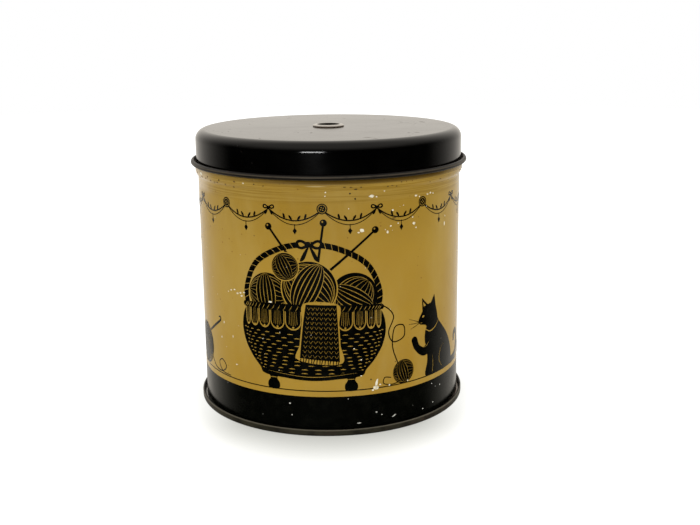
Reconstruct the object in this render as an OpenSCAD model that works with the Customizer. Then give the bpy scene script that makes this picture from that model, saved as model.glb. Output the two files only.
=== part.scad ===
// Round slip-lid tin that feeds a strand of yarn through an eyelet in its lid.
// Four pieces of tinplate: a rolled wall with a locked side seam, a base that
// is double-seamed to it, a drawn lid with an open curl, and a clinched eyelet.
// Millimetres, +Z up, origin on the axis where the tin stands.

/* [Can] */
// Outside diameter of the wall
can_d = 123.6; // [100:0.2:150]
// Height of the rim above the table
can_h = 125.5; // [100:0.5:170]
// Thickness of the wall's sheet
sheet_t = 0.3; // [0.25:0.01:0.36]

/* [Bead and neck] */
// How far the bead stands out of the wall
bead_out = 1.25; // [0.9:0.05:1.5]
// Height of the bead's upright face
bead_face = 1.2; // [0.8:0.1:6]
// Bend radius at the top of the bead, where the lid sits
bead_round = 1.3; // [1.1:0.05:1.5]
// Bend radius of the bead's belly
bead_belly = 3.6; // [2:0.1:5]
// How far the neck stands inside the wall
neck_in = 0.1; // [0:0.05:0.4]
// Height of the neck from the bead to the rim
neck_h = 11; // [8:0.5:16]
// Height of the rim's inward curl
rim_d = 2.4; // [1.8:0.1:3]

/* [Base and double seam] */
// Thickness of the base's sheet
base_t = 0.3; // [0.25:0.01:0.36]
// Height of the double seam
seam_h = 2.9; // [2.7:0.1:4]
// Gap between the wall and the folded seam
seam_gap = 1.15; // [0.8:0.05:1.5]
// Play between the seam's layers
seam_play = 0.1; // [0.06:0.01:0.12]
// Height of the base panel's underside above the table
panel_lift = 3; // [2:0.1:5]
// Height of the stiffening ring pressed into the base panel
ring_lift = 0.8; // [0.4:0.1:1.5]
// Distance from the wall in to the middle of that ring
ring_inset = 13.75; // [6:0.25:24]

/* [Side seam] */
// Width of the locked folds
lock_w = 4.8; // [4:0.1:6]
// Thickness of the folds, pressed thinner than the sheet
lock_t = 0.26; // [0.2:0.01:0.26]
// Play between the folds
lock_play = 0.1; // [0.06:0.01:0.14]
// Width of the groove that the seam leaves outside
groove_w = 0.7; // [0.4:0.1:1]
// Depth of that groove
groove_deep = 0.14; // [0.05:0.01:0.18]

/* [Lid] */
// Thickness of the lid's sheet
lid_t = 0.3; // [0.25:0.01:0.4]
// Running gap all round between the neck and the lid
lid_fit = 0.45; // [0.3:0.05:0.6]
// Gap between the bead and the lid's curl at rest
lid_seat = 0.15; // [0.1:0.05:0.3]
// Room between the rim and the underside of the lid
lid_room = 4; // [2.8:0.1:8]
// Outside radius of the lid's shoulder
shoulder_r = 4.5; // [3:0.1:5]
// How far the curl stands out of the lid's wall
curl_out = 2.55; // [2.55:0.05:3.4]
// Height of the curl
curl_h = 2.26; // [2:0.02:2.5]
// How far the curl turns over at its top, in degrees past upright
curl_over = 100; // [60:5:150]

/* [Eyelet] */
// Diameter of the yarn hole
hole_d = 10; // [6:0.5:14]
// Thickness of the eyelet's metal
eyelet_t = 0.35; // [0.3:0.01:0.45]
// Width of the flange around the hole
flange_w = 2.4; // [2.2:0.1:3.5]
// Slope of the flange, in degrees
flange_fall = 12; // [6:1:20]
// Play between the eyelet and the lid
eyelet_play = 0.08; // [0.05:0.01:0.15]

/* [Hidden] */
$fn = 96;

// A bent sheet is drawn as a walk along its middle line. A station of the walk
// is [x, y, heading]. A step is [length] to go straight on, or [angle, radius]
// to bend, with plus angles to the left.
bend_chord = 0.5;
bend_angle = 15;

function bends(step) = len(step) == 2;

function bend_slices(step) =
    ceil(max(abs(step[0]) / bend_angle, abs(step[0]) * PI / 180 * step[1] / bend_chord));

function bend_place(p, step, share) =
    let (
        reach = sign(step[0]) * step[1],
        heading = p[2] + step[0] * share
    )
    [
        p[0] + reach * (sin(heading) - sin(p[2])),
        p[1] - reach * (cos(heading) - cos(p[2])),
        heading
    ];

function run_place(p, step) = [p[0] + step[0] * cos(p[2]), p[1] + step[0] * sin(p[2]), p[2]];

function step_end(p, step) = bends(step) ? bend_place(p, step, 1) : run_place(p, step);

function step_stations(p, step) =
    bends(step)
    ? let (n = bend_slices(step)) [for (i = [1:n]) bend_place(p, step, i / n)]
    : [run_place(p, step)];

function walk(p, steps, i = 0) =
    i >= len(steps)
    ? []
    : concat(step_stations(p, steps[i]), walk(step_end(p, steps[i]), steps, i + 1));

// The places at a distance to the left of the stations
function beside(stations, gap) =
    [for (p = stations) [p[0] - gap * sin(p[2]), p[1] + gap * cos(p[2])]];

function backwards(list) = [for (i = [len(list) - 1:-1:0]) list[i]];

// Two opposite bends that move a sheet sideways, to the left for plus
function jog_turn(offset, r1, r2) = sign(offset) * acos(1 - abs(offset) / (r1 + r2));

function jog_length(offset, r1, r2) = (r1 + r2) * abs(sin(jog_turn(offset, r1, r2)));

function jog(offset, r1, r2) = [[jog_turn(offset, r1, r2), r1], [-jog_turn(offset, r1, r2), r2]];

// Wall: its middle line, and the hook folded up inside the seam
can_r = can_d / 2;
wall_r = can_r - sheet_t / 2;
layer = (base_t + sheet_t) / 2 + seam_play;
chuck_r = wall_r - layer;
end_hook_r = can_r + seam_gap + base_t / 2;
wall_hook_r = end_hook_r + layer;
seam_r = wall_hook_r + layer;
foot_z = base_t / 2;
wall_foot_z = foot_z + layer;
seam_bend = 0.4;
hook_clear = 0.1;
seam_top_z = seam_h - base_t / 2 - layer;
wall_hook_z = seam_top_z - hook_clear;
end_hook_z = wall_foot_z + sheet_t / 2 + 2 * hook_clear;

// Bead: out to an upright face, then back in under the lid
bead_entry = 2;
bead_exit = 0.45;
bead_in = bead_out + neck_in;
bead_r = wall_r + bead_out;
neck_z = can_h - neck_h;
bead_top_z = neck_z - jog_length(bead_in, bead_round, bead_exit);
bead_z = bead_top_z - bead_face - jog_length(bead_out, bead_entry, bead_belly);
rim_bend = (rim_d - sheet_t) / 2;

// Base panel: a ring pressed up into it, and the bend into the seam
ring_bend = 1.2;
ring_flat = 2.4;
ring_half = ring_flat / 2 + jog_length(ring_lift, ring_bend, ring_bend);
ring_r = can_r - ring_inset;
panel_bend = 0.8;
panel_z = panel_lift + base_t / 2;

// Side seam: four layers at the back of the wall, hooked into each other
lock_pitch = lock_t + lock_play;
lock_tail = 0.5;
lock_ramp = 0.9;
lock_foot_room = 0.4;
lock_head_room = 0.9;
lock_end_gap = 3 * lock_pitch;
lock_ramp_w = jog_length(3 * lock_pitch, lock_ramp, lock_ramp);
lock_z = panel_lift + base_t + ring_lift + lock_foot_room;
lock_top_z = bead_z - lock_head_room;
groove_x = lock_w / 2 + lock_pitch + lock_t / 2 + groove_w / 2;

// Lid: it rests where its curl's lower bend meets the bead's top edge
lid_line_r = wall_r - neck_in + sheet_t / 2 + lid_fit + lid_t / 2;
curl_bend = (curl_h - lid_t) / 2;
curl_flat = curl_out - 2 * curl_bend;
seat_reach = bead_round + sheet_t / 2 + curl_bend + lid_t / 2 + lid_seat;
seat_side = lid_line_r + curl_bend - (bead_r - bead_round);
curl_z = bead_top_z + sqrt(pow(seat_reach, 2) - pow(seat_side, 2));
lid_top_z = can_h + lid_room + lid_t;
lid_hole_r = hole_d / 2 + eyelet_t + eyelet_play;

// Eyelet: a sloping flange above the lid, and a clinched roll below it
barrel_r = hole_d / 2 + eyelet_t / 2;
mouth_bend = 0.5;
flange_edge = 0.3;
flange_skirt = 0.2;
flange_run = (flange_w - eyelet_t - mouth_bend * (1 + sin(flange_fall))
    - flange_edge * (1 - sin(flange_fall))) / cos(flange_fall);
flange_drop = mouth_bend * (1 - cos(flange_fall)) + flange_run * sin(flange_fall)
    + flange_edge * cos(flange_fall);
mouth_z = lid_top_z + eyelet_play + flange_skirt + flange_drop - mouth_bend;
clinch_bend = 0.35;
clinch_tip = 0.1;
clinch_z = lid_top_z - lid_t - eyelet_play - clinch_tip;

module sheet(start, steps, t) {
    stations = concat([start], walk(start, steps));
    polygon(concat(beside(stations, t / 2), backwards(beside(stations, -t / 2))));
}

module round_sheet(start, steps, t) {
    rotate_extrude() sheet(start, steps, t);
}

// Degrees round the wall for a length along it
function round_wall(length) = length / wall_r * 180 / PI;

// A fold of the side seam starts at a place on the wall and runs along it
module fold(place, heading, steps) {
    a = 90 - round_wall(place);
    translate([0, 0, lock_z])
        linear_extrude(lock_top_z - lock_z)
            sheet([wall_r * cos(a), wall_r * sin(a), a + heading], steps, lock_t);
}

module side_lock() {
    ramp_place = lock_w / 2 + 2 * lock_pitch + lock_ramp_w;
    ramp_turn = jog_turn(3 * lock_pitch, lock_ramp, lock_ramp);
    fold(lock_w / 2 - lock_tail, -90, [
        [-round_wall(lock_tail), wall_r],
        [-180, lock_pitch],
        [round_wall(lock_w - lock_end_gap), wall_r - 2 * lock_pitch]
    ]);
    fold(ramp_place + groove_w, 90, [
        [round_wall(groove_w), wall_r],
        [ramp_turn, lock_ramp],
        [round_wall(lock_ramp_w) - ramp_turn, lock_ramp],
        [round_wall(lock_w + 2 * lock_pitch), wall_r - 3 * lock_pitch],
        [-180, lock_pitch],
        [-round_wall(lock_w - lock_end_gap), wall_r - lock_pitch]
    ]);
}

module seam_groove() {
    rotate(90 - round_wall(groove_x))
        translate([can_r - groove_deep, -groove_w / 2, lock_z])
            cube([2 * groove_deep, groove_w, lock_top_z - lock_z]);
}

// Side wall: hooked into the base, beaded below the lid, its rim curled inwards
module can_wall() {
    color("goldenrod") {
        difference() {
            round_sheet([wall_hook_r, wall_hook_z, -90], concat(
                [
                    [wall_hook_z - wall_foot_z - seam_bend],
                    [-90, seam_bend],
                    [wall_hook_r - wall_r - 2 * seam_bend],
                    [-90, seam_bend],
                    [bead_z - wall_foot_z - seam_bend]
                ],
                jog(-bead_out, bead_entry, bead_belly),
                [[bead_face]],
                jog(bead_in, bead_round, bead_exit),
                [
                    [neck_h - sheet_t / 2 - rim_bend],
                    [270, rim_bend]
                ]
            ), sheet_t);
            seam_groove();
        }
        side_lock();
    }
}

// Base: a recessed panel with a pressed ring, and the seam that grips the wall
module base() {
    color("dimgray")
        round_sheet([0, panel_z, 0], concat(
            [[ring_r - ring_half]],
            jog(ring_lift, ring_bend, ring_bend),
            [[ring_flat]],
            jog(-ring_lift, ring_bend, ring_bend),
            [
                [chuck_r - panel_bend - ring_r - ring_half],
                [-90, panel_bend],
                [panel_z - panel_bend - foot_z - seam_bend],
                [90, seam_bend],
                [seam_r - chuck_r - 2 * seam_bend],
                [90, seam_bend],
                [seam_top_z - foot_z - seam_bend],
                [180, layer],
                [seam_top_z - end_hook_z]
            ]
        ), base_t);
}

// Lid: drawn in one piece, with a round shoulder and an open curl at its edge
module lid() {
    color("#1c1c1a")
        round_sheet([lid_hole_r, lid_top_z - lid_t / 2, 0], [
            [lid_line_r + lid_t / 2 - shoulder_r - lid_hole_r],
            [-90, shoulder_r - lid_t / 2],
            [lid_top_z - shoulder_r - curl_z],
            [90, curl_bend],
            [curl_flat],
            [90 + curl_over, curl_bend]
        ], lid_t);
}

// Eyelet: lines the yarn hole and is clinched over under the lid
module eyelet() {
    color("#262624") {
        round_sheet([barrel_r, clinch_z, 90], [
            [mouth_z - clinch_z],
            [-90 - flange_fall, mouth_bend],
            [flange_run],
            [flange_fall - 90, flange_edge],
            [flange_skirt]
        ], eyelet_t);
        round_sheet([barrel_r, clinch_z, -90], [
            [180, clinch_bend],
            [clinch_tip]
        ], eyelet_t);
    }
}

can_wall();
base();
lid();
eyelet();
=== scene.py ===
"""The looks of a round sewing tin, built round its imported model: finishes, the print on the wall and wear."""

import math
import random

import bpy
import numpy as np
from mathutils import Matrix, Vector
from mathutils.bvhtree import BVHTree
from mathutils.geometry import delaunay_2d_cdt


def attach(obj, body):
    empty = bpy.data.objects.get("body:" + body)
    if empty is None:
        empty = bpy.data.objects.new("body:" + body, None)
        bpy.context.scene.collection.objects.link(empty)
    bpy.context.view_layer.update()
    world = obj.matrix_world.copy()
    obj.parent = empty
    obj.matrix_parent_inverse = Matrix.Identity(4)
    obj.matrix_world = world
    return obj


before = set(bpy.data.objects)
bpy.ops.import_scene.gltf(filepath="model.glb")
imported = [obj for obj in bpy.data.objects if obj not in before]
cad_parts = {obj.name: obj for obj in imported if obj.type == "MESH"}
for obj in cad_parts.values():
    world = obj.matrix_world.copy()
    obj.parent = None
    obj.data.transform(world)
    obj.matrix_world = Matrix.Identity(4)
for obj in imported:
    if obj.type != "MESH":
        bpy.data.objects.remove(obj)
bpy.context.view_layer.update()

scene = bpy.context.scene
MM = 0.001

# The printed wall in millimetres. An arc is measured round it, rightward from the middle of the front
WALL_R = 61.8
BAND_FOOT = 1.0
BAND_TOP = 17.6
SEAM_LEFT = -196.4
SEAM_RIGHT = 189.9

# How far ink, specks and chips stand off the wall and reach into it, in millimetres
INK_LIFT = 0.05
SPECK_LIFT = 0.06
CHIP_LIFT = 0.075
SINK = 0.03

# The widest facet of a shell, and the offset of the cuts between facets, in millimetres
FACET = 2.5
FACET_START = 0.013


# Camera: the picture and the focal length in pixels, the eye in metres, the turns in degrees

IMAGE_W = 700
CENTRE_X = 351.3
FOCAL_PX = 1017.5
SENSOR = 36.0
EYE = Vector((0.0, -0.48227, 0.18085))
YAW, PITCH, ROLL = (math.radians(a) for a in (1.209, -13.70, -0.55))


def build_camera():
    forward = Vector((math.sin(YAW) * math.cos(PITCH), math.cos(YAW) * math.cos(PITCH), math.sin(PITCH)))
    right = forward.cross(Vector((0, 0, 1))).normalized()
    up = right.cross(forward)
    across = right * math.cos(ROLL) + up * math.sin(ROLL)
    upward = up * math.cos(ROLL) - right * math.sin(ROLL)
    data = bpy.data.cameras.new("camera")
    data.sensor_width = SENSOR
    data.lens = FOCAL_PX / IMAGE_W * SENSOR
    data.shift_x = -(CENTRE_X - IMAGE_W / 2) / IMAGE_W
    data.clip_start = 0.01
    data.clip_end = 50
    made = bpy.data.objects.new("camera", data)
    made.matrix_world = Matrix((
        (across.x, upward.x, -forward.x, EYE.x),
        (across.y, upward.y, -forward.y, EYE.y),
        (across.z, upward.z, -forward.z, EYE.z),
        (0, 0, 0, 1),
    ))
    scene.collection.objects.link(made)
    scene.camera = made


# Shader nodes

class Shader:
    """Builds one node tree. A value is a socket or a number; a colour may also be three linear numbers."""

    def __init__(self, owner):
        owner.use_nodes = True
        self.tree = owner.node_tree
        self.tree.nodes.clear()

    def node(self, kind, sockets=(), **settings):
        """A node with its settings, and its sockets linked or set by name or number."""
        made = self.tree.nodes.new("ShaderNode" + kind)
        for name, value in settings.items():
            setattr(made, name, value)
        for key, value in dict(sockets).items():
            if isinstance(value, bpy.types.NodeSocket):
                self.tree.links.new(value, made.inputs[key])
            else:
                made.inputs[key].default_value = value
        return made

    def maths(self, operation, *values):
        return self.node("Math", enumerate(values), operation=operation).outputs[0]

    def joined(self, operation, first, *others):
        for other in others:
            first = self.maths(operation, first, other)
        return first

    def plus(self, *values):
        return self.joined("ADD", *values)

    def times(self, *values):
        return self.joined("MULTIPLY", *values)

    def largest(self, *values):
        return self.joined("MAXIMUM", *values)

    def between(self, value, low, high, to_low=0.0, to_high=1.0, kind="SMOOTHSTEP"):
        """Maps low..high of a value to to_low..to_high and holds it at both ends."""
        sockets = {0: value, 1: low, 2: high, 3: to_low, 4: to_high}
        return self.node("MapRange", sockets, interpolation_type=kind).outputs[0]

    def zone(self, value, rise, fall):
        """1 where a value has come through the first range and not yet through the second."""
        return self.times(self.between(value, *rise), self.between(value, *fall))

    def mix(self, share, first, second):
        return self.node("Mix", {0: share, 2: first, 3: second}, data_type="FLOAT").outputs[0]

    def blend(self, share, first, second):
        """Mixes two colours."""
        first, second = (c if isinstance(c, bpy.types.NodeSocket) else (*c, 1.0) for c in (first, second))
        return self.node("Mix", {0: share, 6: first, 7: second}, data_type="RGBA").outputs[2]

    def layered(self, colour, *coats):
        """A colour with others laid over it in turn; each coat is its share and its colour."""
        for share, coat in coats:
            colour = self.blend(share, colour, coat)
        return colour

    def split(self, vector):
        return self.node("SeparateXYZ", {0: vector}).outputs

    def length(self, vector):
        return self.node("VectorMath", {0: vector}, operation="LENGTH").outputs["Value"]


def srgb(red, green, blue):
    """Linear numbers of a colour given in 0..255."""
    return tuple(
        c / 12.92 if c <= 0.04045 else ((c + 0.055) / 1.055) ** 2.4
        for c in (v / 255 for v in (red, green, blue))
    )


class Finish(Shader):
    """A new material. Its patterns are drawn in rest coordinates, so they move with their body."""

    def __init__(self, name):
        self.material = bpy.data.materials.new(name)
        super().__init__(self.material)
        coordinates = self.node("TexCoord")
        self.place = coordinates.outputs["Object"]
        self.x, self.y, self.z = self.split(self.place)
        facing_x, facing_y, self.upward = self.split(coordinates.outputs["Normal"])
        self.radius = self.length(self.node("CombineXYZ", {0: self.x, 1: self.y}).outputs[0])
        outward = self.plus(self.times(self.x, facing_x), self.times(self.y, facing_y))
        self.outward = self.maths("DIVIDE", outward, self.radius)

    def noise(self, scale, detail, roughness=0.55, stretch=None):
        """Noise, drawn out along the axes whose stretch is below 1."""
        place = self.place
        if stretch:
            place = self.node("Mapping", {"Vector": place, "Scale": stretch}).outputs[0]
        sockets = {"Vector": place, "Scale": scale, "Detail": detail, "Roughness": roughness}
        return self.node("TexNoise", sockets).outputs["Fac"]

    def patches(self, scale, detail, low, high, to_low=0.0, to_high=1.0, **looks):
        """Noise with its middle, low..high, spread over to_low..to_high."""
        return self.between(self.noise(scale, detail, **looks), low, high, to_low, to_high)

    def specks(self, scale, size, patch_scale, low, high):
        """1 inside small dots that lie in soft patches, and 0 elsewhere."""
        away = self.node("TexVoronoi", {"Vector": self.place, "Scale": scale}).outputs["Distance"]
        dots = self.between(away, size * 0.6, size, 1.0, 0.0)
        return self.times(dots, self.patches(patch_scale, 2, low, high))

    def hairlines(self, scale, width):
        """1 along thin wandering lines, such as handling scratches, and 0 elsewhere."""
        off = self.maths("ABSOLUTE", self.maths("SUBTRACT", self.noise(scale, 1, 0.4), 0.5))
        return self.between(off, width * 0.4, width, 1.0, 0.0)

    def off_centre(self, centre, size, turn=0.0):
        """The distance from a centre, in which 1 is the surface of an ellipsoid of that size."""
        return self.length(self.node("Mapping", {
            "Vector": self.place, "Location": tuple(centre), "Scale": size,
            "Rotation": (0, 0, math.radians(turn)),
        }, vector_type="TEXTURE").outputs[0])

    def inside(self):
        """1 on the faces that look towards the tin's axis."""
        return self.between(self.outward, -0.05, 0.05, 1.0, 0.0)

    def ended(self, height, bump, distance, **sockets):
        """The material, ended in one Principled shader with a bump."""
        bumped = self.node("Bump", {"Strength": bump, "Distance": distance, "Height": height})
        named = {name.replace("_", " "): value for name, value in sockets.items()}
        shader = self.node("BsdfPrincipled", {**named, "Normal": bumped.outputs[0]})
        self.node("OutputMaterial", {0: shader.outputs[0]})
        return self.material


# Finishes. A pair of places, in metres, is where a look starts to change and where it has changed

TIN = srgb(176, 172, 160)
TIN_DULL = srgb(132, 126, 112)
TIN_METAL = 0.45
RUST = srgb(96, 60, 36)


def bare_tin(finish):
    """Colour and roughness of dulled tinplate: soft spangle, darker blotches and a few rust specks."""
    blotch = finish.patches(45, 4, 0.35, 0.7)
    grain = finish.patches(900, 2, 0.3, 0.7, stretch=(1, 1, 0.08))
    spots = finish.specks(170, 0.16, 30, 0.5, 0.62)
    colour = finish.layered(TIN, (blotch, TIN_DULL), (finish.times(grain, 0.25), TIN_DULL), (spots, RUST))
    return colour, finish.plus(finish.between(grain, 0, 1, 0.3, 0.42), finish.times(spots, 0.4))


def rolled_sheet(finish, grain):
    """The height of printed sheet: soft waves, with the fine grain of what is printed on it."""
    return finish.plus(finish.times(finish.noise(70, 2, stretch=(1, 1, 0.6)), 0.5), finish.times(grain, 0.02))


OCHRE = srgb(165, 132, 50)
OCHRE_PALE = srgb(171, 144, 76)
OCHRE_DEEP = srgb(157, 122, 42)
OCHRE_SHADE = srgb(148, 116, 38)
OCHRE_LINE = srgb(124, 96, 34)
OCHRE_PAINTED_GLARE = srgb(205, 184, 150)
OCHRE_PAINTED_HIGHLIGHT = srgb(200, 178, 128)
OCHRE_PAINTED_SHADOW = srgb(86, 62, 6)
OCHRE_STAIN = srgb(112, 74, 30)
DIRT_AND_SHADE = srgb(10, 9, 7)
DIRT_RUSTY = srgb(70, 38, 24)
SHADED = (0.076, 0.099)
SIDE_SHEEN_X = (0.034, 0.060)
ROLLED = ((0.1025, 0.1055), (0.117, 0.114))
CURL_SHADOW_Z = ((0.1113, 0.1128), (0.1152, 0.1136))
CURL_SHADOW_LEFT = (-0.048, 0.0)
CURL_SHADOW_RIGHT = (0.044, 0.058)
GLARE_LEFT = (-0.050, -0.060)
GLARE_FRONT = (0.004, -0.012)
FOOT_DIRT_AND_SHADE = (0.0036, 0.0030)
FOOT_RUST = (0.035, 0.055)
NECK_RUB = (0.1140, 0.1235)
RIM_BARE = (0.1238, 0.1248)
BACK = (0.05, 0.055)
GROOVE_X = 0.0033
GROOVE_EDGE = (0.0003, 0.0006)
# The painted highlight on the bead: arc and height of its middle, then its half sizes, all in millimetres
BEAD_HIGHLIGHT_AT = (-5.5, 111.3)
BEAD_HIGHLIGHT_SIZE = (6.2, 4, 0.42)
# Each stain: arc, height and radius, in millimetres
STAINS = ((21.8, 94.6, 0.9), (22.1, 93.2, 0.7), (-56.0, 95.7, 0.9))
STAIN_FRAY = 0.0011


def wall_point(arc, height):
    """A point on the wall, in metres, from its arc and height in millimetres."""
    turn = arc / WALL_R
    return Vector((WALL_R * math.sin(turn), -WALL_R * math.cos(turn), height)) * MM


def stains(finish):
    """A coat for each brown stain on the enamel."""
    fray = finish.patches(420, 3, 0, 1, -STAIN_FRAY, STAIN_FRAY)
    for arc, height, size in STAINS:
        ends = {0: finish.place, 1: tuple(wall_point(arc, height))}
        away = finish.node("VectorMath", ends, operation="DISTANCE").outputs["Value"]
        yield finish.between(finish.plus(away, fray), size * 0.2 * MM, size * MM, 0.7, 0.0), OCHRE_STAIN


def enamel_loss(finish):
    """Where the enamel has worn to metal: streaks on the neck, the rim and the edge of the lock's groove."""
    streaks = finish.patches(1100, 3, 0.5, 0.66, roughness=0.7, stretch=(1, 1, 0.04))
    patches = finish.patches(85, 3, 0.4, 0.62, 0.1, 1.0, stretch=(1, 1, 0.6))
    neck = finish.times(streaks, patches, finish.between(finish.z, *NECK_RUB, 0.0, 0.75))
    near = finish.maths("ABSOLUTE", finish.maths("SUBTRACT", finish.x, GROOVE_X))
    groove = finish.times(
        finish.between(finish.y, *BACK), finish.between(near, *GROOVE_EDGE, 0.85, 0.0),
        finish.patches(300, 3, 0.3, 0.5, 0.3, 1.0, stretch=(1, 1, 0.3)),
    )
    return finish.largest(neck, finish.between(finish.z, *RIM_BARE), groove)


def ochre_enamel():
    """The can's wall: ochre printed enamel outside and tinplate inside."""
    f = Finish("ochre_enamel_worn")
    cloud = f.patches(16, 3, 0.3, 0.7, roughness=0.5)
    lidward = f.between(f.z, *SHADED, 0.0, 0.65)
    aged = f.times(f.patches(34, 4, 0.48, 0.75, roughness=0.6, stretch=(1, 1, 0.45)), 0.55)
    grain = f.noise(2400, 2, 0.6)
    # Painted sheen: the wall is paler towards its left and right sides
    painted_side_sheen = f.between(f.maths("ABSOLUTE", f.x), *SIDE_SHEEN_X, 0.0, 0.35)
    # Under the bead the enamel was rolled: paler, with fine lines that run round the can
    rolled = f.zone(f.z, *ROLLED)
    rings = f.patches(62, 2, 0.35, 0.65, roughness=0.6, stretch=(0.35, 0.35, 24))
    paler = f.times(rolled, f.between(rings, 0, 1, 0.0, 0.25))
    lines = f.times(rolled, f.between(rings, 0.9, 0.1, 0.0, 0.42))
    # A painted glare lightens the bead at the front's left end, and a short painted highlight runs along the
    # bead
    painted_glare = f.times(
        rolled, f.between(f.x, *GLARE_LEFT, 0.0, 0.7), f.between(f.y, *GLARE_FRONT),
        f.patches(150, 3, 0.3, 0.5, 0.6, 1.0),
    )
    painted_highlight = f.between(f.off_centre(wall_point(*BEAD_HIGHLIGHT_AT), [s * MM for s in BEAD_HIGHLIGHT_SIZE]), 0.3, 1.0, 0.55, 0.0)
    flecks = f.times(f.specks(330, 0.13, 60, 0.52, 0.6), 0.75)
    # Painted shadow: the corner under the lid's curl is painted dark gold, less so to the left and right, and
    # reflects less there
    curl_shadow = f.times(
        f.zone(f.z, *CURL_SHADOW_Z), f.between(f.x, *CURL_SHADOW_LEFT, 0.2, 1.0), f.between(f.x, *CURL_SHADOW_RIGHT, 1.0, 0.4),
    )
    # Behind the seam ring the wall is painted black, partly dirt and partly painted shade in the crevice, and
    # rusty to the right
    lee = f.between(f.plus(f.x, f.patches(90, 3, 0.3, 0.7, -0.02, 0.02)), *FOOT_RUST)
    metal = f.largest(enamel_loss(f), f.inside())
    tin_colour, tin_rough = bare_tin(f)
    colour = f.layered(
        OCHRE, (cloud, OCHRE_DEEP), (lidward, OCHRE_SHADE), (aged, OCHRE_PALE),
        (f.between(grain, 0.35, 0.75, 0.0, 0.16), OCHRE_DEEP), (painted_side_sheen, OCHRE_PALE), (paler, OCHRE_PALE),
        (lines, OCHRE_LINE), (painted_glare, OCHRE_PAINTED_GLARE), (painted_highlight, OCHRE_PAINTED_HIGHLIGHT), *stains(f), (flecks, OCHRE_STAIN),
        (f.times(curl_shadow, 0.95), OCHRE_PAINTED_SHADOW), (f.between(f.z, *FOOT_DIRT_AND_SHADE), f.blend(lee, DIRT_AND_SHADE, DIRT_RUSTY)),
        (metal, tin_colour),
    )
    gloss = f.plus(f.patches(120, 3, 0.3, 0.7, 0.13, 0.19), f.times(curl_shadow, 0.25))
    return f.ended(
        f.plus(rolled_sheet(f, grain), f.times(rings, rolled, 0.03)), 0.35, 0.0004,
        Base_Color=colour, Metallic=f.times(metal, TIN_METAL), Roughness=f.mix(metal, gloss, tin_rough),
        Specular_IOR_Level=f.between(curl_shadow, 0.3, 1, 0.5, 0.12),
    )


BLACK = srgb(1, 1, 1)
BLACK_WORN = srgb(7, 7, 6)
LID_DUST = srgb(52, 50, 45)
LID_SCRATCH = srgb(80, 74, 64)
LID_DOT = srgb(30, 25, 20)
LID_MARK = srgb(58, 46, 34)
CURL_DARK = srgb(30, 27, 23)
CURL_DARKER = srgb(22, 19, 16)
CURL_CREST_SHADE = srgb(10, 9, 8)
CURL_PAINTED_HIGHLIGHT = srgb(74, 66, 53)
CURL_LIP_REFLECTION = srgb(84, 76, 56)
CURL_RUST = srgb(72, 46, 34)
CURL_R = (0.06262, 0.0630)
CURL_HIGHLIGHT_Z = ((0.11488, 0.11508), (0.11562, 0.11542))
LIP_Z = (0.1144, 0.1140)
LID_TOP_INSIDE_R = (0.0615, 0.0618)
LID_WALL_INSIDE_R = ((0.0560, 0.0565), (0.0626, 0.0624))
# Each mark on the lid: x, y, half its width and depth in millimetres, and its turn in degrees
LID_MARKS = (
    (-13.6, -25.4, 0.55, 0.9, 0), (-7.7, -28.0, 0.7, 1.2, 10), (16.6, -48.6, 2.2, 0.7, -18),
    (19.6, -51.6, 2.0, 0.6, -24), (35.6, -32.4, 1.2, 0.7, 20), (39.1, -31.0, 1.5, 0.8, -10),
    (45.4, 13.6, 1.0, 2.2, 30), (-29.4, -47.0, 0.6, 0.8, 0), (-38.0, 12.0, 0.5, 0.9, 0),
    (8.0, 34.0, 0.8, 0.6, 0), (-20.0, 40.0, 1.6, 0.5, 35), (28.0, 30.0, 0.5, 0.7, 0),
)
MARK_Z = 129.8
MARK_DEPTH = 4


def lid_marks(finish):
    """1 inside the lid's larger marks, which have frayed edges."""
    fray = finish.between(finish.noise(1500, 3), 0.2, 0.8, -0.6, 0.6, "LINEAR")
    marks = 0.0
    for x, y, wide, deep, turn in LID_MARKS:
        size = (wide * MM, deep * MM, MARK_DEPTH * MM)
        away = finish.off_centre((x * MM, y * MM, MARK_Z * MM), size, turn)
        marks = finish.largest(marks, finish.between(finish.plus(away, fray), 0.5, 1.0, 1.0, 0.0))
    return marks


def curled_edge(finish, curl, rust):
    """The colour of the lid's curl: dark metal with a painted dark crest, a painted highlight band round it and
    a painted reflection on its lower lip, rusty in its groove.
    """
    dark = finish.patches(90, 3, 0.4, 0.7)
    # Painted shade: where the curl faces up it is painted near black
    crest_shade = finish.between(finish.upward, 0.5, 0.8)
    # Painted highlight: a bright band round the curl
    painted_highlight = finish.times(finish.zone(finish.z, *CURL_HIGHLIGHT_Z), finish.patches(130, 3, 0.3, 0.5, 0.55, 1.0))
    # Painted reflection: the curl's lower lip is painted lighter
    lip_reflection = finish.times(curl, finish.between(finish.z, *LIP_Z), 0.5)
    return finish.layered(
        CURL_DARK, (dark, CURL_DARKER), (crest_shade, CURL_CREST_SHADE), (painted_highlight, CURL_PAINTED_HIGHLIGHT), (lip_reflection, CURL_LIP_REFLECTION),
        (rust, CURL_RUST),
    )


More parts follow.
